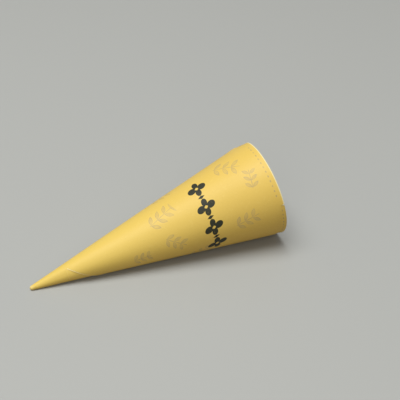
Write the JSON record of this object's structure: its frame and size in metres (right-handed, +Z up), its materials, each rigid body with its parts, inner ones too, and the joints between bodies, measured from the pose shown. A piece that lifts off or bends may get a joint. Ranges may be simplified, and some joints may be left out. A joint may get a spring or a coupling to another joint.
{
  "type": "ice cream cone sleeve",
  "caption": "Conical paper sleeve for an ice cream cone: a printed sheet wound into a closed cone, with a round open mouth and a blunt rolled tip, lying on its side.",
  "frame": {"origin": "middle of the base of the bounding box, on the table that the sleeve lies on", "axes": "+X from the tip towards the mouth along the side that touches the table, +Y to the back, +Z up"},
  "size_m": [0.115, 0.0444, 0.0438],
  "materials": {
    "printed_paper": "smooth matte paper, yellow outside with faint print"
  },
  "bodies": {
    "root": {"cone_sleeve": "printed_paper"}
  },
  "joints": []
}
